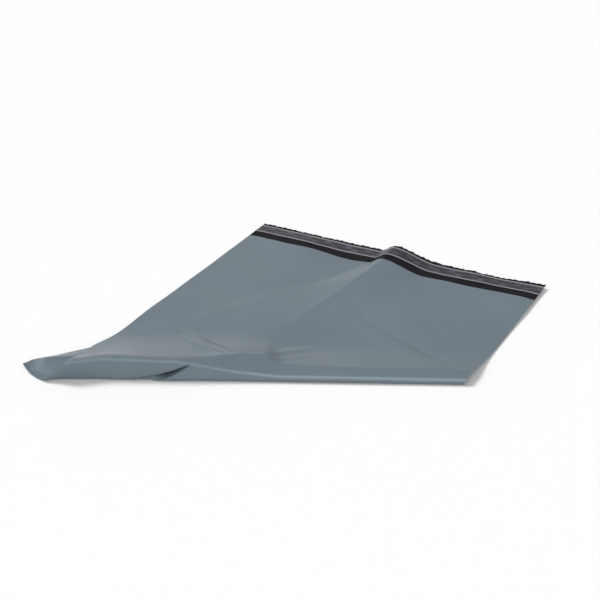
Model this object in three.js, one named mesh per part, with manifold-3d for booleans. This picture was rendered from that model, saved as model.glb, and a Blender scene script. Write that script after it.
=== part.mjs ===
// Poly mailer: a courier bag of thin film that lies flat, with its closed end turned under at a slant.
// Lengths are in millimetres. While the parts are made, the mouth's middle is the origin: +X runs
// across the bag, +Y from the mouth to the flap's cut edge, and +Z up from the surface it lies on.
import * as THREE from "three";
import Module from "manifold-3d";
import { mergeVertices } from "three/addons/utils/BufferGeometryUtils.js";

const wasm = await Module();
wasm.setup();

// The bag
const BAG_WIDTH = 356;
const BAG_LENGTH = 432; // mouth to closed end
const FLAP_DEPTH = 38; // mouth to cut edge
const FILM = 0.06; // one wall
const POCKET_GAP = 0.3; // air between the walls
const SIDE_WELD = 5; // width over which the walls are welded together along each side
const END_FOLD = 0.5; // length over which the folded end lies shut

// The serrated cut along the flap
const TOOTH_PITCH = 7;
const TOOTH_DEPTH = 1.4;
const CUT_ALLOWANCE = 1; // film beyond the tips of the teeth, taken off by the cut

// The closure on the flap's inner face
const LINER_WIDTH = 18.5;
const LINER_THICKNESS = 0.05;
const LINER_SETBACK = 6; // cut edge to liner
const ADHESIVE_WIDTH = 15;
const ADHESIVE_THICKNESS = 0.1;

// The turned-under end: film beyond the turn along each side edge. The turn is a quarter round, an
// upright wall that gets lower from left to right, and a second quarter round.
const TURN_LEFT = 68;
const TURN_RIGHT = 247;
const TURN_RADIUS = 4;
const WALL_LEFT = 13;
const WALL_RIGHT = 1;
const SETTLE_RUN = 75; // the panel comes down within this distance behind the turn
const LAP_CLEARANCE = 0.3; // between the panel and the end that lies under it
const LAP_MARGIN = 26; // the panel stays up this far past the edge of the end under it
const LAP_RAMP = 30; // and then comes down over this distance

// The ridge left by the half fold that the bag was packed with, steeper on its left side
const RIDGE_HEIGHT = 8;
const RIDGE_X = -10;
const RIDGE_LEFT = 26;
const RIDGE_RIGHT = 55;
const RIDGE_LENGTH = 200; // mouth to where it has died away

// How finely the sheet is divided
const COLUMN_STEP = 18;
const RIDGE_STEPS = 4; // on each side of the ridge
const PANEL_ROWS = 20;
const ROUND_ROWS = 4; // in each quarter round
const WALL_ROWS = 3;
const UNDER_ROWS = 9;

const { lerp, smoothstep, clamp } = THREE.MathUtils;
const HALF_WIDTH = BAG_WIDTH / 2;
const HALF_THICKNESS = POCKET_GAP / 2 + FILM;
const LAP = 2 * HALF_THICKNESS + LAP_CLEARANCE;

// Levels through the flat bag, from its middle: front wall, pocket and back wall lie between them.
const WALL_LEVELS = [-HALF_THICKNESS, -POCKET_GAP / 2, POCKET_GAP / 2, HALF_THICKNESS];
const FLAP_FACE = WALL_LEVELS[1];

// The turn crosses the flat bag from a point on its left edge to a point on its right edge.
const turnLeft = new THREE.Vector2(-HALF_WIDTH, TURN_LEFT - BAG_LENGTH);
const turnRight = new THREE.Vector2(HALF_WIDTH, TURN_RIGHT - BAG_LENGTH);
const turnLength = turnLeft.distanceTo(turnRight);
const along = turnRight.clone().sub(turnLeft).normalize();
const across = new THREE.Vector2(along.y, -along.x); // towards the closed end
const taper = (WALL_RIGHT - WALL_LEFT) / turnLength;
const QUARTER_ROUND = (Math.PI / 2) * TURN_RADIUS;

function wallHeight(alongTurn) {
  return WALL_LEFT + taper * alongTurn;
}

// Film that the turn takes up.
function turnFilm(alongTurn) {
  return 2 * QUARTER_ROUND + wallHeight(alongTurn);
}

// The point of the sheet, in plan, that lies at these distances along and ahead of the turn.
function fromTurn(alongTurn, ahead) {
  return turnLeft.clone().addScaledVector(along, alongTurn).addScaledVector(across, ahead);
}

// Rise of the panel where it comes off the turn.
function turnHeight(alongTurn, behind) {
  return (2 * TURN_RADIUS + wallHeight(alongTurn)) * (1 - smoothstep(behind, 0, SETTLE_RUN));
}

// Rise of the panel where it lies on the turned-under end, whose edges are found by unfolding it.
function lapHeight(alongTurn, behind) {
  const under = fromTurn(alongTurn, turnFilm(alongTurn) + behind);
  const outside = Math.max(Math.abs(under.x) - HALF_WIDTH, -BAG_LENGTH - under.y);
  return LAP * (1 - smoothstep(outside, LAP_MARGIN, LAP_MARGIN + LAP_RAMP));
}

function ridgeHeight(x, y) {
  const off = (x - RIDGE_X) / (x < RIDGE_X ? RIDGE_LEFT : RIDGE_RIGHT);
  const section = (1 + Math.cos(Math.PI * clamp(off, -1, 1))) / 2;
  return RIDGE_HEIGHT * section * smoothstep(y, -RIDGE_LENGTH, 0);
}

// Carries a point of the flat bag to where it lies: on the panel, round the turn, or under it.
function place(x, y, level) {
  const flat = new THREE.Vector2(x, y).sub(turnLeft);
  const alongTurn = flat.dot(along);
  const past = flat.dot(across);
  if (past <= 0) {
    const rise = Math.hypot(turnHeight(alongTurn, -past), lapHeight(alongTurn, -past));
    return new THREE.Vector3(x, y, HALF_THICKNESS + rise + ridgeHeight(x, y) + level);
  }
  const wall = wallHeight(alongTurn);
  const down = clamp(past - QUARTER_ROUND, 0, wall);
  const rounded = Math.min(past - down, 2 * QUARTER_ROUND);
  const angle = rounded / TURN_RADIUS;
  const reach = TURN_RADIUS + level;
  const ahead = reach * Math.sin(angle) - (past - down - rounded);
  const height = HALF_THICKNESS + TURN_RADIUS + wall - down + reach * Math.cos(angle);
  const plan = fromTurn(alongTurn, ahead);
  return new THREE.Vector3(plan.x, plan.y, height);
}

function steps(from, to, count) {
  return Array.from({ length: count }, (_, i) => lerp(from, to, i / count));
}

// Columns run the length of the bag: each weld, even steps on each side, finer ones on the ridge.
const weldLine = HALF_WIDTH - SIDE_WELD;
const ridgeFrom = RIDGE_X - RIDGE_LEFT;
const ridgeTo = RIDGE_X + RIDGE_RIGHT;
const columns = [
  -HALF_WIDTH,
  ...steps(-weldLine, ridgeFrom, Math.ceil((ridgeFrom + weldLine) / COLUMN_STEP)),
  ...steps(ridgeFrom, RIDGE_X, RIDGE_STEPS),
  ...steps(RIDGE_X, ridgeTo, RIDGE_STEPS),
  ...steps(ridgeTo, weldLine, Math.ceil((weldLine - ridgeTo) / COLUMN_STEP)),
  weldLine,
  HALF_WIDTH,
];

// A row is a straight line over the flat bag, given by its Y on the left edge and on the right edge.
function straightRow(y) {
  return [y, y];
}

function rowsBetween(first, last, count) {
  return steps(0, 1, count).map((f) => [lerp(first[0], last[0], f), lerp(first[1], last[1], f)]);
}

// The row that has gone this far into the turn: over so much of its rounds and this share of its wall.
function turnRow(rounded, share) {
  const perLength = along.x + share * taper * along.y;
  const left = (rounded + share * WALL_LEFT) / perLength;
  const right = (rounded + share * WALL_RIGHT) / perLength;
  return [turnLeft.y - left, turnRight.y - right];
}

// Rows of the flap, from its uncut edge down, with both edges of the liner and of the adhesive.
const bandMiddle = FLAP_DEPTH - LINER_SETBACK - LINER_WIDTH / 2;
const flapRows = [
  FLAP_DEPTH + CUT_ALLOWANCE,
  bandMiddle + LINER_WIDTH / 2,
  bandMiddle + ADHESIVE_WIDTH / 2,
  bandMiddle - ADHESIVE_WIDTH / 2,
  bandMiddle - LINER_WIDTH / 2,
].map(straightRow);
const LINER_ROWS = [1, 4];
const ADHESIVE_ROWS = [2, 3];

// A closed solid over rows, columns and levels: a cell is film where filled says so, and a face
// is made wherever film meets air.
function layUp(rows, levels, filled) {
  const counts = [rows.length, columns.length, levels.length];
  const indexOf = ([i, j, k]) => (i * counts[1] + j) * counts[2] + k;
  const positions = [];
  for (const [left, right] of rows) {
    for (const x of columns) {
      const y = lerp(left, right, (x + HALF_WIDTH) / BAG_WIDTH);
      levels.forEach((level) => positions.push(...place(x, y, level).toArray()));
    }
  }
  const isFilm = (cell) => cell.every((c, axis) => c >= 0 && c < counts[axis] - 1) && filled(...cell);
  const triangles = [];
  const addFaces = (cell) => {
    for (const axis of [0, 1, 2]) {
      for (const side of [0, 1]) {
        const neighbour = [...cell];
        neighbour[axis] += side ? 1 : -1;
        if (isFilm(neighbour)) continue;
        const corner = [...cell];
        corner[axis] += side;
        const step = (d1, d2) => {
          const c = [...corner];
          c[(axis + 1) % 3] += d1;
          c[(axis + 2) % 3] += d2;
          return indexOf(c);
        };
        const [a, b, c, d] = [step(0, 0), step(1, 0), step(1, 1), step(0, 1)];
        triangles.push(...(side ? [a, b, c, a, c, d] : [a, c, b, a, d, c]));
      }
    }
  };
  for (let i = 0; i < counts[0] - 1; i++) {
    for (let j = 0; j < counts[1] - 1; j++) {
      for (let k = 0; k < counts[2] - 1; k++) {
        if (isFilm([i, j, k])) addFaces([i, j, k]);
      }
    }
  }
  const geometry = new THREE.BufferGeometry();
  geometry.setAttribute("position", new THREE.Float32BufferAttribute(positions, 3));
  geometry.setIndex(triangles);
  return geometry.toNonIndexed();
}

// Solids for cutting
function solidOf(geometry) {
  const bare = new THREE.BufferGeometry().setAttribute("position", geometry.getAttribute("position"));
  bare.setIndex(geometry.getIndex());
  const merged = mergeVertices(bare);
  const mesh = new wasm.Mesh({
    numProp: 3,
    vertProperties: new Float32Array(merged.getAttribute("position").array),
    triVerts: new Uint32Array(merged.getIndex().array),
  });
  return new wasm.Manifold(mesh);
}

function geometryOf(solid) {
  const mesh = solid.getMesh();
  const geometry = new THREE.BufferGeometry();
  geometry.setAttribute("position", new THREE.BufferAttribute(mesh.vertProperties, 3));
  geometry.setIndex(new THREE.BufferAttribute(mesh.triVerts, 1));
  return geometry;
}

// What the serrating knife takes off the flap: everything past a zigzag from side to side.
function serration() {
  const teeth = Math.round(BAG_WIDTH / TOOTH_PITCH);
  const pitch = BAG_WIDTH / teeth;
  const clear = 2 * CUT_ALLOWANCE;
  const zigzag = new THREE.Shape();
  zigzag.moveTo(-HALF_WIDTH - pitch / 2, FLAP_DEPTH);
  for (let tooth = 0; tooth <= teeth; tooth++) {
    const valley = -HALF_WIDTH + tooth * pitch;
    zigzag.lineTo(valley, FLAP_DEPTH - TOOTH_DEPTH);
    zigzag.lineTo(valley + pitch / 2, FLAP_DEPTH);
  }
  zigzag.lineTo(HALF_WIDTH + pitch / 2, FLAP_DEPTH + clear);
  zigzag.lineTo(-HALF_WIDTH - pitch / 2, FLAP_DEPTH + clear);
  const depth = RIDGE_HEIGHT + 2 * HALF_THICKNESS + 2 * clear;
  return new THREE.ExtrudeGeometry(zigzag, { depth, bevelEnabled: false }).translate(0, 0, -clear);
}

// The bag is one sheet: the front wall runs on past the mouth as the flap, and the back wall starts
// at the mouth. The walls part over the pocket and are one at the side welds and the folded end.
function bag() {
  const underRow = turnRow(2 * QUARTER_ROUND, 1);
  const endRow = straightRow(END_FOLD - BAG_LENGTH);
  const rows = [
    ...flapRows,
    ...rowsBetween(straightRow(0), turnRow(0, 0), PANEL_ROWS),
    ...steps(0, QUARTER_ROUND, ROUND_ROWS).map((rounded) => turnRow(rounded, 0)),
    ...steps(0, 1, WALL_ROWS).map((share) => turnRow(QUARTER_ROUND, share)),
    ...steps(QUARTER_ROUND, 2 * QUARTER_ROUND, ROUND_ROWS).map((rounded) => turnRow(rounded, 1)),
    ...rowsBetween(underRow, endRow, UNDER_ROWS),
    endRow,
    straightRow(-BAG_LENGTH),
  ];
  const [frontWall, pocket] = [0, 1];
  const sheet = layUp(rows, WALL_LEVELS, (row, column, layer) => {
    if (layer === frontWall) return true;
    if (row < flapRows.length) return false;
    const shut = column === 0 || column === columns.length - 2 || row === rows.length - 2;
    return layer === pocket ? shut : true;
  });
  return geometryOf(solidOf(sheet).subtract(solidOf(serration())));
}

// A band across the flap between two of its rows, on a level above its inner face.
function flapBand(firstRow, lastRow, level, thickness) {
  return layUp(flapRows.slice(firstRow, lastRow + 1), [level, level + thickness], () => true);
}

function part(name, geometry, material) {
  geometry.computeVertexNormals();
  const mesh = new THREE.Mesh(geometry, material);
  mesh.name = name;
  return mesh;
}

const greyFilm = new THREE.MeshStandardMaterial({ color: 0x727e86, roughness: 0.45, metalness: 0 });
const hotMelt = new THREE.MeshStandardMaterial({ color: 0xcfc9b4, roughness: 0.3, metalness: 0 });
const linerFilm = new THREE.MeshStandardMaterial({ color: 0x686b70, roughness: 0.35, metalness: 0 });

const linerLevel = FLAP_FACE + ADHESIVE_THICKNESS;

const mailer = new THREE.Group();
mailer.add(
  part("bag", bag(), greyFilm),
  part("adhesive_strip", flapBand(...ADHESIVE_ROWS, FLAP_FACE, ADHESIVE_THICKNESS), hotMelt),
  part("release_liner", flapBand(...LINER_ROWS, linerLevel, LINER_THICKNESS), linerFilm),
);

// The finished part stands on the origin: the middle of its box, at the foot.
const box = new THREE.Box3().setFromObject(mailer, true);
const middle = box.getCenter(new THREE.Vector3());
mailer.position.set(-middle.x, -middle.y, -box.min.z);

export default mailer;
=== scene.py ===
"""A grey poly mailer that lies flat, with its closed end turned under at a slant."""
import math

import bpy
import numpy as np
from mathutils import Matrix, Vector

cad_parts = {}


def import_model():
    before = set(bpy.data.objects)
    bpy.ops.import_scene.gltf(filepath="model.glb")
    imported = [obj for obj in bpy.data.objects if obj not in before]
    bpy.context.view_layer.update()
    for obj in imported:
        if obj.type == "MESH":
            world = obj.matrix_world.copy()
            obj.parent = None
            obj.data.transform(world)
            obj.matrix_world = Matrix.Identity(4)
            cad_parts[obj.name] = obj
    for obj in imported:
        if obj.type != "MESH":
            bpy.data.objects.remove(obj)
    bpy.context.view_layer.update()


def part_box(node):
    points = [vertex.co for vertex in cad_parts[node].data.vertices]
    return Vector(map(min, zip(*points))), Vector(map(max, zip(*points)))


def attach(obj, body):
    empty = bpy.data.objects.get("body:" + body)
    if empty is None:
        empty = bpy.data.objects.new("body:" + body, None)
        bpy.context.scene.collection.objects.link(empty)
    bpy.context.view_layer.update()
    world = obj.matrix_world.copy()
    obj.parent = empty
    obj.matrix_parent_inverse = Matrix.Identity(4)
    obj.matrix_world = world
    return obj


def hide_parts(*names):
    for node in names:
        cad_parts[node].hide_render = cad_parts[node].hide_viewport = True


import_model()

# Sizes, in metres. Places on the flat bag are given from the mouth's middle: X across the bag, and Y
# towards the flap's edge. Places near the turn are given along it, from its left end, and past it.
liner_low, liner_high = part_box("release_liner")
BAG_WIDTH = liner_high[0] - liner_low[0]
HALF_WIDTH = BAG_WIDTH / 2
BAG_LENGTH = 0.432
FLAP_DEPTH = 0.038
LINER_SETBACK = 0.006
LINER_WIDTH = liner_high[1] - liner_low[1]
ADHESIVE_WIDTH = 0.015
SIDE_WELD = 0.005
WELD_BEAD = 0.0012
MOUTH = Vector(((liner_low[0] + liner_high[0]) / 2, liner_high[1] + LINER_SETBACK - FLAP_DEPTH, 0.0))

# Film: each wall, the air between the walls, and the closure's layers, with the adhesive's clearance
FILM = 0.00007
WALL_GAP = 0.00016
ADHESIVE_THICKNESS = 0.0001
ADHESIVE_INSET = 0.00001
LINER_THICKNESS = 0.00006
HALF_THICKNESS = FILM + WALL_GAP / 2
WALL_LEVELS = (-HALF_THICKNESS, -WALL_GAP / 2, WALL_GAP / 2, HALF_THICKNESS)
POCKET_DEPTH = 0.045

# The mouth stands open a little: how far, how fast that fades behind it, the mean and swing of the
# opening along it, the length of its swings, and the reach of its closed ends
MOUTH_OPENING = 0.0009
MOUTH_FADE = 0.016
MOUTH_OPEN_MEAN = 0.4
MOUTH_OPEN_SWING = 0.6
MOUTH_OPEN_LENGTH = 0.11
MOUTH_CLOSED_ENDS = 0.02
# Its cut edge wanders
MOUTH_WANDER = 0.0009
MOUTH_WANDER_LENGTH = 0.06

# Serrated cut, with teeth of uneven depth along a wandering line
TEETH = 51
TOOTH_DEPTH = 0.0016
TOOTH_UNEVEN = (0.4, 1.2)
CUT_WANDER = 0.0006
CUT_WANDER_LENGTH = 0.013

# Mesh: columns to a tooth, rows in each stretch of the bag, and the angle in degrees of a sharp edge
COLUMNS_PER_TOOTH = 4
CUT_ROWS = 2
LINER_ROWS = 8
ADHESIVE_ROWS = 6
FLAP_ROWS = 6
PANEL_ROWS = 104
QUARTER_ROWS = 8
WALL_ROWS = 8
UNDER_ROWS = 44
SHARP_ANGLE = 50

# The turned-under end: film past the turn along each side edge, the radius the turn starts with, and
# how far behind its shoulder the film reaches the surface, at the left and at the right
TURN_LEFT = 0.068
TURN_RIGHT = 0.247
TURN_RADIUS = 0.004
QUARTER = math.pi * TURN_RADIUS / 2
RUN_LEFT = 0.092
RUN_RIGHT = 0.066
# The panel rises over the end that lies under it
LAP_CLEARANCE = 0.0003
LAP = 2 * HALF_THICKNESS + LAP_CLEARANCE
LAP_MARGIN = 0.004
LAP_RAMP = 0.022

# Along the turn: place, height of its upright stretch
WALL_POINTS = (
    (0.0, 0.0145), (0.040, 0.0165), (0.120, 0.0145), (0.172, 0.0050), (0.215, 0.0014), (0.400, 0.0006),
)
# Along the turn: place, how far behind it the shoulder lies, and how high the shoulder is
SHOULDER_POINTS = (
    (0.0, 0.005, 0.0225), (0.040, 0.005, 0.0245), (0.138, 0.006, 0.0216), (0.178, 0.019, 0.0180),
    (0.202, 0.021, 0.0158), (0.214, 0.011, 0.0122), (0.282, 0.009, 0.0109), (0.372, 0.009, 0.0104),
    (0.400, 0.009, 0.0094),
)
CURVE_BLUR = 0.008
CURVE_STEP = 0.001
CURVE_RANGE = (-0.15, 0.60)

# Where the turn is low, the film behind its edge is hollow
LIP_HOLLOW = 0.0010
LIP_REACH = 0.0045
LIP_START = 0.150
LIP_FULL = 0.215

# A painted highlight makes the film paler along the edge it is folded over: how much, how far past the
# turn at the left and at the right, how wide, and how strong at the left
FOLD_HIGHLIGHT_GAIN = 1.5
FOLD_HIGHLIGHT_PAST = (0.0030, 0.0050)
FOLD_HIGHLIGHT_WIDTH = 0.0034
FOLD_HIGHLIGHT_LEFT = 0.3

# The corner that sticks out at the left: its length, the share of the turn at which it starts to slide,
# how far its tip has slid, its bulge, and how its tip curls up
CORNER_LENGTH = 0.044
CORNER_START = 0.3
CORNER_SLIDE = (0.003, -0.021)
CORNER_BULGE = 0.004
CORNER_CURL = 0.007
CORNER_CURL_POWER = 2.5
# A crest runs on over it from the turn: where it starts and ends, its height, its reach to either side,
# where it rises and falls, as shares of the corner's length, and its least reach, as a share
CREST_START = -0.330
CREST_END = -0.3634
CREST_HEIGHT = 0.007
CREST_REACH = 0.034
CREST_RISE = (-0.5, 0.1)
CREST_FALL = (0.5, 1.0)
CREST_NARROWEST = 0.1
# The left edge is drawn in where it crosses the crest
EDGE_DRAW = 0.013
EDGE_REACH = 0.045
EDGE_BEHIND = 0.060
# and its upright stretch flares out
EDGE_FLARE = 0.003
EDGE_FLARE_REACH = 0.012

# The ridge of the half fold
RIDGE_X = -0.003
RIDGE_SLANT = 0.13
RIDGE_LEFT = 0.016
RIDGE_RIGHT = 0.055
RIDGE_HEIGHT = 0.0092
RIDGE_FADE = 0.15
RIDGE_PANEL_FADE = 0.075
RIDGE_WIDEN = 0.30

# The flap's right corner, lifted a little
LIFT_START = 0.120
LIFT_HEIGHT = 0.0042
LIFT_FADE = 0.06

# Small waves in the flap, from a little behind the mouth
WAVE_HEIGHT = 0.0003
WAVE_LENGTH = 0.024
WAVE_START = -0.02
WAVE_FULL = 0.01

# Unevenness of the lying film, which starts behind the turn
SWELL_HEIGHT = 0.0011
SWELL_LENGTH = 0.085
SWELL_START = 0.03

# Creases: each has its path along and past the turn, with heights, and its width
WRINKLES = (
    (((0.112, -0.080, 0.0006), (0.138, -0.043, 0.0048), (0.158, -0.019, 0.0014)), 0.009),
    (((0.112, -0.094, 0.0005), (0.138, -0.061, 0.0044), (0.164, -0.030, 0.0014)), 0.010),
    (((0.205, -0.022, 0.0016), (0.232, -0.032, 0.0012), (0.262, -0.030, 0.0002)), 0.008),
    (((0.196, -0.030, 0.0014), (0.222, -0.052, 0.0012), (0.250, -0.062, 0.0002)), 0.009),
    (((0.146, -0.004, 0.0006), (0.178, -0.019, 0.0008),
      (0.202, -0.021, 0.0008), (0.214, -0.011, 0.0006)), 0.005),
    (((0.214, -0.011, 0.0004), (0.282, -0.009, 0.0005),
      (0.372, -0.009, 0.0005), (0.398, -0.009, 0.0003)), 0.006),
    (((0.311, -0.239, 0.0008), (0.277, -0.186, 0.0008),
      (0.232, -0.126, 0.0006), (0.205, -0.090, 0.0001)), 0.012),
)
CREASE_POWER = 1.5
# Valleys between two low swells: each has its path and the width of either side
VALLEYS = (
    (((0.268, -0.180, 0.0), (0.298, -0.121, 0.0018), (0.326, -0.088, 0.0023),
      (0.355, -0.057, 0.0024), (0.386, -0.019, 0.0)), (0.012, 0.030)),
)
VALLEY_START = 0.02

# Pleats in the upright stretch: depth, share of the depth along the path, and the edge that stands out
PLEAT_DEPTH = 0.012
PLEAT_PROFILE = ((0, 0.25, 0.55, 1), (0, 1, 0.9, 0))
PLEAT_STEPS = 25
PLEAT_POWER = 1.3
PLEAT_LEAST_OPEN = 0.3
PLEAT_LIP = 0.0018
PLEAT_REACH = 0.04
# The mesh's lines are drawn together along them, but not at the side edges
CROWD_REACH = 0.012
CROWD_EDGE = 0.012


def smooth(low, high, value):
    """0 below low, 1 above high, and an even S between them."""
    f = np.clip((value - low) / (high - low), 0.0, 1.0)
    return f * f * (3 - 2 * f)


def ripple(x, y, wavelength, seed, waves=7, spread=(0.7, 1.6)):
    """A smooth wandering value of about -1 to 1."""
    rng = np.random.default_rng(seed)
    total = np.zeros(np.broadcast(x, y).shape)
    for _ in range(waves):
        heading, phase = rng.uniform(0, 2 * np.pi, 2)
        length = wavelength * rng.uniform(*spread)
        total += np.sin(2 * np.pi * (x * np.cos(heading) + y * np.sin(heading)) / length + phase)
    return total / math.sqrt(waves)


def soft_curve(places, values):
    """A line through points, with its corners rounded off."""
    grid = np.arange(*CURVE_RANGE, CURVE_STEP)
    window = np.hanning(2 * int(CURVE_BLUR / CURVE_STEP) + 1)
    line = np.pad(np.interp(grid, places, values), window.size // 2, mode="edge")
    line = np.convolve(line, window / window.sum(), mode="valid")
    return lambda t: np.interp(t, grid, line)


def nearest(t, past, path):
    """The nearest point of a path over the sheet.

    Each point of the path has a place along the turn, a place past it, and a height. Returns the offsets
    to the nearest point, the distance with the sign of its side, and the path's height there."""
    shape = np.broadcast(t, past).shape
    best = [np.zeros(shape), np.zeros(shape), np.full(shape, np.inf), np.zeros(shape)]
    for (t0, p0, h0), (t1, p1, h1) in zip(path, path[1:]):
        run, rise = t1 - t0, p1 - p0
        share = np.clip(((t - t0) * run + (past - p0) * rise) / (run**2 + rise**2), 0, 1)
        off_t, off_past = t - t0 - share * run, past - p0 - share * rise
        side = np.where(run * off_past - rise * off_t < 0, -1, 1)
        found = [off_t, off_past, side * np.hypot(off_t, off_past), h0 + share * (h1 - h0)]
        nearer = np.abs(found[2]) < np.abs(best[2])
        best = [np.where(nearer, f, b) for f, b in zip(found, best)]
    return best


def crease(t, past, path, width):
    """A fold line: its height is full on the path and nothing at the width from it."""
    _off_t, _off_past, away, height = nearest(t, past, path)
    return height * (1 - np.clip(np.abs(away) / width, 0, 1)) ** CREASE_POWER


def valley(t, past, path, width):
    """A dent that keeps its floor: the film rises to either side, most at that side's width."""
    _off_t, _off_past, away, height = nearest(t, past, path)
    share = np.where(away > 0, away / width[0], -away / width[1])
    return height * share * np.exp(1 - share)


def groove(t, past, path, width):
    """A tuck: the film sinks towards the path, and past it stands out a little as an edge."""
    _off_t, _off_past, away, depth = nearest(t, past, path)
    strength = np.abs(depth) / PLEAT_DEPTH
    open_share = PLEAT_LEAST_OPEN + (1 - PLEAT_LEAST_OPEN) * strength
    share = np.where(away > 0, away / (width[1] * open_share), -away / (width[0] * open_share))
    dip = depth * (1 - np.clip(share, 0, 1)) ** PLEAT_POWER
    lip = np.where(away > 0, PLEAT_LIP * strength * np.exp(-away / PLEAT_REACH), 0)
    above_floor = 1 - smooth(0, QUARTER, past - bend_length(t) + QUARTER)
    return dip + lip * above_floor


def crowd(x, y):
    """Draws the mesh's lines together along the pleats."""
    for path, _width in PLEATS:
        t, past = to_turn(x, y)
        off_t, off_past, away, _depth = nearest(t, past, path)
        share = np.clip(np.abs(away) / CROWD_REACH, 0, 1)
        inside = smooth(0, CROWD_EDGE, HALF_WIDTH - np.abs(x))
        x, y = from_turn(t - off_t * (1 - share) * inside, past - off_past * (1 - share) * inside)
    return x, y


def pleat_path(start, bend, end):
    """An arc over the sheet, deep near its start and fading out at its end."""
    path = []
    for s in np.linspace(0, 1, PLEAT_STEPS):
        weights = ((1 - s) ** 2, 2 * s * (1 - s), s * s)
        t = sum(w * p[0] for w, p in zip(weights, (start, bend, end)))
        past = sum(w * p[1] for w, p in zip(weights, (start, bend, end)))
        path.append((t, past, -PLEAT_DEPTH * np.interp(s, *PLEAT_PROFILE)))
    return path


# Each pleat has its path, and its width above and below it
PLEATS = (
    (pleat_path(start=(0.070, 0.0255), bend=(0.106, 0.0292), end=(0.132, 0.0025)), (0.0055, 0.0009)),
)

# The turn as a line over the flat bag
turn_left = np.array((-HALF_WIDTH, TURN_LEFT - BAG_LENGTH))
turn_right = np.array((HALF_WIDTH, TURN_RIGHT - BAG_LENGTH))
along = (turn_right - turn_left) / np.linalg.norm(turn_right - turn_left)
across = np.array((along[1], -along[0]))

wall_height = soft_curve(*zip(*WALL_POINTS))
shoulder_back = soft_curve([p[0] for p in SHOULDER_POINTS], [p[1] for p in SHOULDER_POINTS])
shoulder_high = soft_curve([p[0] for p in SHOULDER_POINTS], [p[2] for p in SHOULDER_POINTS])


def to_turn(x, y):
    """Distances along the turn and past it, towards the closed end."""
    dx, dy = x - turn_left[0], y - turn_left[1]
    return dx * along[0] + dy * along[1], dx * across[0] + dy * across[1]


def from_turn(t, ahead):
    """The flat place at these distances along the turn and past it."""
    x = turn_left[0] + along[0] * t + across[0] * ahead
    y = turn_left[1] + along[1] * t + across[1] * ahead
    return x, y


def bend_length(t):
    """Film in the turn: both quarter rounds and the upright stretch."""
    return math.pi * TURN_RADIUS + wall_height(t)


def ridge(x, y):
    """Height of the half fold's ridge, steep at its left, which fades out down the panel."""
    middle = RIDGE_X + RIDGE_SLANT * np.minimum(y, 0)
    inside = np.maximum(-y, 0)
    left = RIDGE_LEFT + RIDGE_WIDEN * inside
    side = np.clip(np.where(x < middle, (middle - x) / left, (x - middle) / RIDGE_RIGHT), 0, 1)
    soft = (1 + np.cos(np.pi * side)) / 2
    section = np.where(x < middle, (soft + np.cos(np.pi / 2 * side)) / 2, soft)
    fade = np.exp(-(FLAP_DEPTH - np.maximum(y, 0)) / RIDGE_FADE - inside / RIDGE_PANEL_FADE)
    return RIDGE_HEIGHT * section * fade


def roll_height(t, behind):
    """The film's rise towards the turn: up to the shoulder, then over a facet to the turn's edge."""
    nose = 2 * TURN_RADIUS + wall_height(t)
    back, high = shoulder_back(t), shoulder_high(t)
    low_turn = smooth(LIP_START, LIP_FULL, t)
    hollow = LIP_HOLLOW * low_turn * behind / LIP_REACH * np.exp(1 - behind / LIP_REACH)
    facet = nose + (high - nose) * np.clip(behind / back, 0, 1) - hollow
    run = RUN_LEFT + (RUN_RIGHT - RUN_LEFT) * low_turn
    slope = facet * np.clip(1 - (behind - back) / run, 0, 1) ** 2
    return np.where(behind < back, facet, slope)


def panel_height(x, y, t, behind):
    """Height of the bag's middle over the surface, for the part that isn't turned under."""
    under_x, under_y = from_turn(t, bend_length(t) + behind)
    outside = np.maximum(np.abs(under_x) - HALF_WIDTH, -BAG_LENGTH - under_y)
    lap = LAP * (1 - smooth(LAP_MARGIN, LAP_MARGIN + LAP_RAMP, outside))
    swell = SWELL_HEIGHT * (1 + ripple(x, y, SWELL_LENGTH, seed=11)) / 2 * smooth(0, SWELL_START, behind)
    lift = LIFT_HEIGHT * smooth(LIFT_START, HALF_WIDTH, x) * np.exp(-(FLAP_DEPTH - y) / LIFT_FADE)
    wave = WAVE_HEIGHT * (1 + ripple(x, y, WAVE_LENGTH, seed=21) / 2) * smooth(WAVE_START, WAVE_FULL, y)
    folds = sum(crease(t, -behind, path, width) for path, width in WRINKLES) + np.maximum(wave, 0)
    dents = sum(valley(t, -behind, path, width) for path, width in VALLEYS)
    folds = folds + dents * smooth(0, VALLEY_START, behind)
    rise = np.hypot(roll_height(t, behind), lap)
    return HALF_THICKNESS + rise + ridge(x, y) + np.maximum(swell, 0) + lift + folds


def corner_crest(plan_x, plan_y):
    """Height of the crest that runs on over the corner."""
    out = (-HALF_WIDTH - plan_x) / CORNER_LENGTH
    line = CREST_START + (CREST_END - CREST_START) * out
    reach = CREST_REACH * np.clip(1 + CREST_NARROWEST - out, CREST_NARROWEST, 1)
    tent = np.clip(1 - np.abs(plan_y - line) / reach, 0, 1)
    return CREST_HEIGHT * tent * smooth(*CREST_RISE, out) * (1 - smooth(*CREST_FALL, out))


def mouth_level(x, y):
    """How far the back wall stands off the front wall at the mouth."""
    swing = ripple(x, 0 * x, MOUTH_OPEN_LENGTH, seed=8)
    open_share = np.clip(MOUTH_OPEN_MEAN + MOUTH_OPEN_SWING * swing, 0, 1)
    open_share = open_share * smooth(0, MOUTH_CLOSED_ENDS, HALF_WIDTH - np.abs(x))
    return MOUTH_OPENING * open_share * np.exp(np.minimum(y, 0) / MOUTH_FADE)


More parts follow.
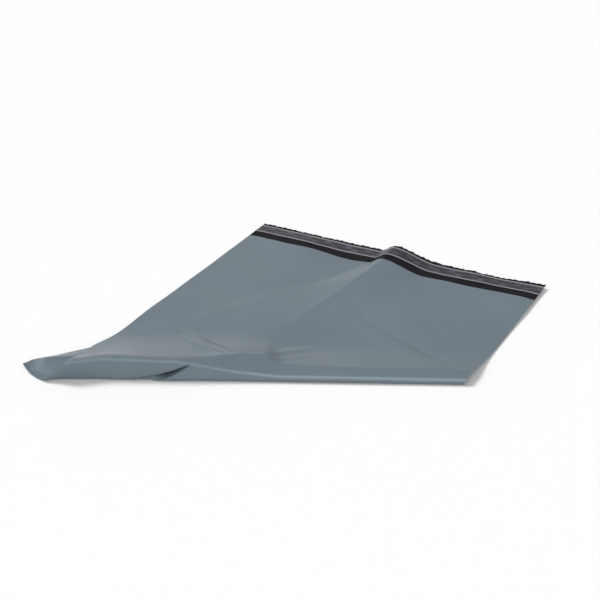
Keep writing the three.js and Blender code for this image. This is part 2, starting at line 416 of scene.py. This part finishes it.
def place(x, y, level):
    """Carries points of the flat bag to where they lie."""
    t, past = to_turn(x, y)
    near_edge = 1 - smooth(0, EDGE_REACH, x + HALF_WIDTH)
    draw = EDGE_DRAW * near_edge * smooth(-EDGE_BEHIND, 0, past) * (1 - smooth(0, bend_length(t), past))
    wall = wall_height(t)
    top = HALF_THICKNESS + wall + TURN_RADIUS
    upper = np.clip(past, 0, QUARTER)
    down = np.clip(past - QUARTER, 0, wall)
    lower = np.clip(past - QUARTER - wall, 0, QUARTER)
    angle = (upper + lower) / TURN_RADIUS
    reach = TURN_RADIUS + level + sum(groove(t, past, path, width) for path, width in PLEATS)
    flare = EDGE_FLARE * np.exp(-(x + HALF_WIDTH) / EDGE_FLARE_REACH)
    reach = reach + flare * np.sin(angle) * np.minimum(1 + np.cos(angle), 1)
    ahead = reach * np.sin(angle) - np.maximum(past - bend_length(t), 0)
    height = top - down + reach * np.cos(angle)
    plan_x, plan_y = from_turn(t, ahead)
    corner = np.clip((-HALF_WIDTH - plan_x) / CORNER_LENGTH, 0, 1)
    corner = corner * smooth(CORNER_START, 1, past / bend_length(t))
    plan_x = plan_x + CORNER_SLIDE[0] * corner**2 - CORNER_BULGE * np.sin(np.pi * corner)
    plan_y = plan_y + CORNER_SLIDE[1] * corner
    height = height + CORNER_CURL * corner**CORNER_CURL_POWER
    height = height + np.where(past > bend_length(t), corner_crest(plan_x, plan_y), 0)
    if level > 0:
        level = level + mouth_level(x, y)
    on_panel = past <= 0
    plan_x = np.where(on_panel, x, plan_x) + draw
    plan_y = np.where(on_panel, y, plan_y)
    height = np.where(on_panel, panel_height(x, y, t, np.maximum(-past, 0)) + level, height)
    return np.stack([plan_x + MOUTH.x, plan_y + MOUTH.y, height], axis=-1)


# Columns and rows over the flat bag
half_tooth = COLUMNS_PER_TOOTH // 2
columns = np.linspace(-HALF_WIDTH, HALF_WIDTH, TEETH * COLUMNS_PER_TOOTH + 1)
tooth_phase = np.abs((np.arange(columns.size) + half_tooth) % COLUMNS_PER_TOOTH - half_tooth) / half_tooth
uneven = np.random.default_rng(5).uniform(*TOOTH_UNEVEN, columns.size)
cut_wander = CUT_WANDER * ripple(columns, 0 * columns, CUT_WANDER_LENGTH, seed=4)
cut_row = FLAP_DEPTH - TOOTH_DEPTH * tooth_phase * uneven - cut_wander
mouth_row = MOUTH_WANDER * ripple(columns, 0 * columns, MOUTH_WANDER_LENGTH, seed=3)


def straight(y):
    """A row straight across the bag."""
    return np.full(columns.size, y)


def between(first, last, count):
    """Rows from first up to, but without, last."""
    return [first + (last - first) * i / count for i in range(count)]


def bend_row(quarter_share, wall_share, passes=12):
    """The row that has gone this far round the turn: in quarter circles, and as a share of its wall."""
    y = straight(turn_left[1])
    for _ in range(passes):
        t, _past = to_turn(columns, y)
        want = quarter_share * math.pi * TURN_RADIUS / 2 + wall_share * wall_height(t)
        y = turn_left[1] + (want - (columns - turn_left[0]) * across[0]) / across[1]
    return y


band_middle = FLAP_DEPTH - LINER_SETBACK - LINER_WIDTH / 2
liner_rows = [straight(band_middle + LINER_WIDTH * s) for s in np.linspace(0.5, -0.5, LINER_ROWS + 1)]
adhesive_shares = np.linspace(0.5, -0.5, ADHESIVE_ROWS + 1)
adhesive_rows = [straight(band_middle + ADHESIVE_WIDTH * s) for s in adhesive_shares]
flap_rows = between(cut_row, liner_rows[0], CUT_ROWS)
flap_rows += between(liner_rows[0], liner_rows[-1], LINER_ROWS)
flap_rows += between(liner_rows[-1], mouth_row, FLAP_ROWS)
turn_row = bend_row(0, 0)
under_row = bend_row(2, 1)
end_row = straight(-BAG_LENGTH)
bend_rows = [bend_row(i / QUARTER_ROWS, 0) for i in range(QUARTER_ROWS)]
bend_rows += [bend_row(1, i / WALL_ROWS) for i in range(WALL_ROWS)]
bend_rows += [bend_row(1 + i / QUARTER_ROWS, 1) for i in range(QUARTER_ROWS)]
bag_rows = flap_rows + between(mouth_row, turn_row, PANEL_ROWS)
bag_rows += bend_rows + between(under_row, end_row, UNDER_ROWS) + [end_row]
MOUTH_INDEX = len(flap_rows)


def lay_up(name, rows, levels, film):
    """A closed mesh over rows, columns and levels, with a face wherever a cell of film meets air.

    Returns the object and, for each face, the axis and side it lies on and its cell."""
    y = np.stack(rows)
    x, y = crowd(np.broadcast_to(columns, y.shape), y)
    points = np.stack([place(x, y, level) for level in levels], axis=2)
    flat = np.stack([x + HALF_WIDTH, y + BAG_LENGTH], axis=-1)
    index = np.arange(points[..., 0].size).reshape(points.shape[:3])
    air = ~np.pad(film, 1)
    steps = np.eye(3, dtype=int)
    quads, kinds = [], []
    for axis in range(3):
        first, second = steps[(axis + 1) % 3], steps[(axis + 2) % 3]
        for side in (0, 1):
            beyond = np.roll(air, -1 if side else 1, axis)[1:-1, 1:-1, 1:-1]
            cells = np.argwhere(film & beyond)
            corner = cells.copy()
            corner[:, axis] += side
            ring = [corner, corner + first, corner + first + second, corner + second]
            if side == 0:
                ring.reverse()
            quads.append(np.stack([index[tuple(c.T)] for c in ring], axis=1))
            kinds.append(np.column_stack([np.full(len(cells), axis), np.full(len(cells), side), cells]))
    quads, kinds = np.concatenate(quads), np.concatenate(kinds)
    used, quads = np.unique(quads, return_inverse=True)
    quads = quads.reshape(-1, 4)
    mesh = bpy.data.meshes.new(name)
    mesh.from_pydata(points.reshape(-1, 3)[used].tolist(), [], quads.tolist())
    uv = mesh.uv_layers.new(name="flat")
    per_vertex = np.repeat(flat[:, :, None, :], len(levels), axis=2).reshape(-1, 2)[used]
    corners = np.empty(len(mesh.loops), dtype=np.int32)
    mesh.loops.foreach_get("vertex_index", corners)
    uv.data.foreach_set("uv", per_vertex[corners].astype(np.float32).ravel())
    mesh.shade_smooth()
    mesh.set_sharp_from_angle(angle=math.radians(SHARP_ANGLE))
    obj = bpy.data.objects.new(name, mesh)
    bpy.context.scene.collection.objects.link(obj)
    return obj, kinds


# Materials
def srgb(red, green, blue):
    """A colour given as it looks on screen, 0 to 255, as linear values."""
    def linear(c):
        c /= 255
        return c / 12.92 if c <= 0.04045 else ((c + 0.055) / 1.055) ** 2.4
    return (linear(red), linear(green), linear(blue), 1.0)


# The film's noises, in features to the metre, and the part of their range that is used
DIE_LINES = {"scale": 900, "stretch": (1, 0.012, 1), "detail": 2}
MOTTLE = {"scale": 14, "detail": 4}
GRAIN = {"scale": 700, "detail": 2}
CRINKLE = {"scale": 60, "stretch": (1, 0.6, 1), "detail": 3, "rough": 0.6}
NOISE_SPAN = (0.3, 0.7)
DIE_LINE_TONE = 0.35
DIE_LINE_RELIEF = 0.7
DIE_LINE_GLOSS = 0.04
MOTTLE_GLOSS = 0.05

# Bumps: strength, and height in metres
FINE_BUMP = (0.25, 0.00005)
WELD_BUMP = (0.6, 0.00015)
CRINKLE_BUMP = (0.25, 0.0006)
LINER_BUMP = (0.3, 0.0004)
ADHESIVE_BUMP = (0.4, 0.0001)

# The liner's pale edges and printed dashes. Places across it are shares of its width, and the length
# and offset of dashes are shares of their pitch.
LINER_EDGE = (0.38, 0.42)
LINER_MOTTLE = {"scale": 45, "stretch": (1, 2, 1), "detail": 4}
LINER_MOTTLE_SPAN = (0.35, 0.65)
DASH_ROWS = ((0.33, 0.0), (0.66, 0.4))
DASH_PITCH = 0.026
DASH_HALF_LENGTH = 0.36
DASH_HALF_HEIGHT = 0.11
DASH_INK = 0.75

ADHESIVE_STREAKS = {"scale": 500, "stretch": (0.03, 1, 1), "detail": 3}


class Nodes:
    """Short ways to add and join the nodes of one material."""

    def __init__(self, name):
        self.material = bpy.data.materials.new(name)
        self.material.use_nodes = True
        self.tree = self.material.node_tree
        self.shader = self.tree.nodes["Principled BSDF"]
        self.flat = self.add("ShaderNodeUVMap", uv_map="flat").outputs["UV"]

    def add(self, kind, inputs=None, **settings):
        node = self.tree.nodes.new(kind)
        for key, value in settings.items():
            setattr(node, key, value)
        for key, value in (inputs or {}).items():
            self.put(node.inputs[key], value)
        return node

    def put(self, socket, value):
        if isinstance(value, bpy.types.NodeSocket):
            self.tree.links.new(value, socket)
        else:
            socket.default_value = value

    def math(self, operation, a, b=0.0):
        return self.add("ShaderNodeMath", {0: a, 1: b}, operation=operation).outputs[0]

    def split(self):
        """The flat place's distances from the bag's left edge and from its closed end."""
        return self.add("ShaderNodeSeparateXYZ", {"Vector": self.flat}).outputs

    def noise(self, scale, stretch=(1, 1, 1), detail=3.0, rough=0.5):
        mapped = self.add("ShaderNodeMapping", {"Vector": self.flat, "Scale": stretch}).outputs[0]
        inputs = {"Vector": mapped, "Scale": scale, "Detail": detail, "Roughness": rough}
        return self.add("ShaderNodeTexNoise", inputs).outputs["Fac"]

    def ranged(self, value, low, high, to_low, to_high):
        inputs = {"Value": value, "From Min": low, "From Max": high, "To Min": to_low, "To Max": to_high}
        return self.add("ShaderNodeMapRange", inputs).outputs[0]

    def mix(self, factor, a, b):
        node = self.add("ShaderNodeMix", data_type="RGBA")
        self.put(node.inputs[0], factor)
        self.put(node.inputs[6], a)
        self.put(node.inputs[7], b)
        return node.outputs[2]

    def bump(self, height, strength, distance, normal=None):
        inputs = {"Height": height, "Strength": strength, "Distance": distance}
        if normal:
            inputs["Normal"] = normal
        return self.add("ShaderNodeBump", inputs).outputs[0]


def film_material(name, colour, deep, roughness, specular):
    """Blown film: satin, with die lines along it, faint mottling, fine crinkle and a painted highlight
    along the fold line.
    """
    n = Nodes(name)
    die_lines = n.noise(**DIE_LINES)
    mottle = n.noise(**MOTTLE)
    grain = n.noise(**GRAIN)
    crinkle = n.noise(**CRINKLE)
    tone = n.math("ADD", n.math("MULTIPLY", die_lines, DIE_LINE_TONE),
                  n.math("MULTIPLY", mottle, 1 - DIE_LINE_TONE))
    base = n.mix(n.ranged(tone, *NOISE_SPAN, 0, 1), deep, colour)
    # The paler colour along the fold line is a painted highlight
    pale = tuple(min(1.0, c * FOLD_HIGHLIGHT_GAIN) for c in colour[:3]) + (1.0,)
    n.put(n.shader.inputs["Base Color"], n.mix(painted_fold_highlight(n), base, pale))
    rough = n.math("ADD", n.ranged(die_lines, *NOISE_SPAN, -DIE_LINE_GLOSS, DIE_LINE_GLOSS),
                   n.ranged(mottle, *NOISE_SPAN, -MOTTLE_GLOSS, MOTTLE_GLOSS))
    n.put(n.shader.inputs["Roughness"], n.math("ADD", rough, roughness))
    n.shader.inputs["Specular IOR Level"].default_value = specular
    fine = n.bump(n.math("ADD", grain, n.math("MULTIPLY", die_lines, DIE_LINE_RELIEF)), *FINE_BUMP)
    welded = n.bump(weld_line(n), *WELD_BUMP, fine)
    n.put(n.shader.inputs["Normal"], n.bump(crinkle, *CRINKLE_BUMP, welded))
    return n.material


def weld_line(n):
    """1 on the bead at the inner edge of each side weld, below the flap, and 0 beside it."""
    flat = n.split()
    off_middle = n.math("ABSOLUTE", n.math("SUBTRACT", flat["X"], HALF_WIDTH))
    off_bead = n.math("ABSOLUTE", n.math("SUBTRACT", off_middle, HALF_WIDTH - SIDE_WELD))
    below_flap = n.math("LESS_THAN", flat["Y"], BAG_LENGTH)
    return n.math("MULTIPLY", n.ranged(off_bead, WELD_BEAD / 4, WELD_BEAD / 2, 1, 0), below_flap)


def painted_fold_highlight(n):
    """1 along the turn's edge, where a highlight is painted pale into the colour, and 0 a little way from
    it.
    """
    flat = n.split()
    from_left = flat["X"]
    from_start = n.math("SUBTRACT", flat["Y"], float(turn_left[1]) + BAG_LENGTH)
    past = n.math("ADD", n.math("MULTIPLY", from_left, float(across[0])),
                  n.math("MULTIPLY", from_start, float(across[1])))
    t = n.math("ADD", n.math("MULTIPLY", from_left, float(along[0])),
               n.math("MULTIPLY", from_start, float(along[1])))
    middle = n.ranged(t, LIP_START, LIP_FULL, *FOLD_HIGHLIGHT_PAST)
    off = n.math("ABSOLUTE", n.math("SUBTRACT", past, middle))
    line = n.ranged(off, FOLD_HIGHLIGHT_WIDTH / 4, FOLD_HIGHLIGHT_WIDTH / 2, 1, 0)
    return n.math("MULTIPLY", line, n.ranged(t, LIP_START, LIP_FULL, FOLD_HIGHLIGHT_LEFT, 1))


def liner_material():
    """Release film over the black flap: grey, paler along its edges, with rows of plain printed dashes."""
    n = Nodes("liner_film")
    flat = n.split()
    from_edge = n.math("SUBTRACT", flat["Y"], BAG_LENGTH + band_middle - LINER_WIDTH / 2)
    height = n.math("DIVIDE", from_edge, LINER_WIDTH)
    off_middle = n.math("ABSOLUTE", n.math("SUBTRACT", height, 0.5))
    edge = n.ranged(off_middle, *LINER_EDGE, 0, 1)
    mottle = n.noise(**LINER_MOTTLE)
    base = n.mix(n.ranged(mottle, *LINER_MOTTLE_SPAN, 0, 1), srgb(60, 62, 67), srgb(80, 83, 89))
    for row, offset in DASH_ROWS:
        cell = n.math("FRACT", n.math("ADD", n.math("DIVIDE", flat["X"], DASH_PITCH), offset))
        dash = n.math("LESS_THAN", n.math("ABSOLUTE", n.math("SUBTRACT", cell, 0.5)), DASH_HALF_LENGTH)
        in_row = n.math("LESS_THAN", n.math("ABSOLUTE", n.math("SUBTRACT", height, row)), DASH_HALF_HEIGHT)
        ink = n.math("MULTIPLY", n.math("MULTIPLY", dash, in_row), DASH_INK)
        base = n.mix(ink, base, srgb(40, 40, 44))
    base = n.mix(edge, base, srgb(142, 144, 150))
    n.put(n.shader.inputs["Base Color"], base)
    n.shader.inputs["Roughness"].default_value = 0.4
    n.shader.inputs["Specular IOR Level"].default_value = 0.3
    n.put(n.shader.inputs["Normal"], n.bump(mottle, *LINER_BUMP))
    return n.material


def adhesive_material():
    """Hot melt, streaked along the band."""
    n = Nodes("hot_melt")
    streaks = n.noise(**ADHESIVE_STREAKS)
    n.put(n.shader.inputs["Base Color"], n.mix(streaks, srgb(196, 188, 160), srgb(224, 218, 196)))
    n.shader.inputs["Roughness"].default_value = 0.25
    n.put(n.shader.inputs["Normal"], n.bump(streaks, *ADHESIVE_BUMP))
    return n.material


# Pieces
def bag():
    """Both walls and the flap: black on the inner faces and the cut edge, grey outside."""
    cells = (len(bag_rows) - 1, columns.size - 1, len(WALL_LEVELS) - 1)
    film = np.zeros(cells, dtype=bool)
    film[:, :, 0] = True
    film[MOUTH_INDEX:, :, 1:] = True
    row_y = np.stack(bag_rows)[1:].mean(axis=1)
    pocket_end = int(np.argmax(row_y < -POCKET_DEPTH))
    weld = int(np.argmax(columns > SIDE_WELD - HALF_WIDTH))
    film[MOUTH_INDEX:pocket_end, weld:-weld, 1] = False
    obj, kinds = lay_up("bag_film", bag_rows, WALL_LEVELS, film)
    grey = film_material("grey_film", colour=srgb(108, 121, 130), deep=srgb(102, 115, 124),
                         roughness=0.36, specular=0.5)
    black = film_material("black_film", colour=srgb(33, 31, 34), deep=srgb(25, 23, 26),
                          roughness=0.6, specular=0.08)
    obj.data.materials.append(grey)
    obj.data.materials.append(black)
    axis, side, row, layer = kinds[:, 0], kinds[:, 1], kinds[:, 2], kinds[:, 4]
    inner = (axis == 2) & (((layer == 0) & (side == 1)) | ((layer == 2) & (side == 0)))
    cut = (axis == 0) & (row == 0)
    obj.data.polygons.foreach_set("material_index", (inner | cut).astype(np.int32))
    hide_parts("bag")
    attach(obj, "root")


def flap_band(name, node, rows, level, thickness, material):
    """A strip along the flap's inner face."""
    film = np.ones((len(rows) - 1, columns.size - 1, 1), dtype=bool)
    obj, _kinds = lay_up(name, rows, (level, level + thickness), film)
    obj.data.materials.append(material)
    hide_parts(node)
    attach(obj, "root")
    return obj


bag()
flap_face = WALL_LEVELS[1]
flap_band("adhesive_band", "adhesive_strip", adhesive_rows, flap_face + ADHESIVE_INSET,
          ADHESIVE_THICKNESS - 2 * ADHESIVE_INSET, adhesive_material())
liner = flap_band("liner_strip", "release_liner", liner_rows, flap_face + ADHESIVE_THICKNESS,
                  LINER_THICKNESS, liner_material())


# Floor, light and camera
def floor(reach, drop, grey):
    """A pale floor, just clear of the film."""
    mesh = bpy.data.meshes.new("floor")
    corners = [(-reach, -reach, 0), (reach, -reach, 0), (reach, reach, 0), (-reach, reach, 0)]
    mesh.from_pydata(corners, [], [(0, 1, 2, 3)])
    obj = bpy.data.objects.new("floor", mesh)
    obj.location.z = -drop
    bpy.context.scene.collection.objects.link(obj)
    material = bpy.data.materials.new("pale_floor")
    material.use_nodes = True
    shader = material.node_tree.nodes["Principled BSDF"]
    shader.inputs["Base Color"].default_value = (grey, grey, grey, 1)
    shader.inputs["Roughness"].default_value = 0.8
    shader.inputs["Specular IOR Level"].default_value = 0.1
    mesh.materials.append(material)


def soft_lamp(name, towards, strength, spread):
    """A far lamp as wide as a softbox, so that the floor is lit evenly."""
    light = bpy.data.lights.new(name, "SUN")
    light.energy = strength
    light.angle = math.radians(spread)
    obj = bpy.data.objects.new(name, light)
    obj.rotation_euler = Vector(towards).to_track_quat("Z", "Y").to_euler()
    bpy.context.scene.collection.objects.link(obj)


def world(ambient):
    """White to the camera, and an even grey to everything else."""
    w = bpy.data.worlds.new("studio")
    bpy.context.scene.world = w
    w.use_nodes = True
    tree = w.node_tree
    path = tree.nodes.new("ShaderNodeLightPath")
    strength = tree.nodes.new("ShaderNodeMapRange")
    strength.inputs["To Min"].default_value = ambient
    strength.inputs["To Max"].default_value = 1.0
    tree.links.new(path.outputs["Is Camera Ray"], strength.inputs["Value"])
    background = tree.nodes["Background"]
    background.inputs["Color"].default_value = (1, 1, 1, 1)
    tree.links.new(strength.outputs[0], background.inputs["Strength"])


def camera(aim, azimuth, pitch, roll, height, focal_pixels, image_pixels):
    """A camera at this height, which looks at the aim. Angles are in degrees."""
    data = bpy.data.cameras.new("camera")
    data.sensor_width = 36
    data.lens = data.sensor_width * focal_pixels / image_pixels
    obj = bpy.data.objects.new("camera", data)
    azimuth, pitch, roll = math.radians(azimuth), math.radians(pitch), math.radians(roll)
    level = math.cos(pitch)
    away = Vector((math.sin(azimuth) * level, -math.cos(azimuth) * level, math.sin(pitch)))
    tilt = Matrix.Rotation(math.pi / 2 - pitch, 4, "X")
    turn = Matrix.Rotation(azimuth, 4, "Z") @ tilt @ Matrix.Rotation(roll, 4, "Z")
    obj.matrix_world = Matrix.Translation(aim + away * height / math.sin(pitch)) @ turn
    bpy.context.scene.collection.objects.link(obj)
    bpy.context.scene.camera = obj


floor(reach=6.0, drop=0.0002, grey=0.95)
world(ambient=0.32)
soft_lamp("key", towards=(-0.73, -0.12, 1.0), strength=2.0, spread=25)
soft_lamp("front", towards=(0.52, -0.74, 0.7), strength=1.1, spread=60)
soft_lamp("back", towards=(-0.57, 0.83, 0.22), strength=0.06, spread=20)
camera(aim=MOUTH + Vector((-0.047, -0.1131, 0)), azimuth=29, pitch=28.38, roll=-0.36, height=0.6622,
       focal_pixels=1288, image_pixels=600)
bpy.context.scene.view_settings.view_transform = "Standard"
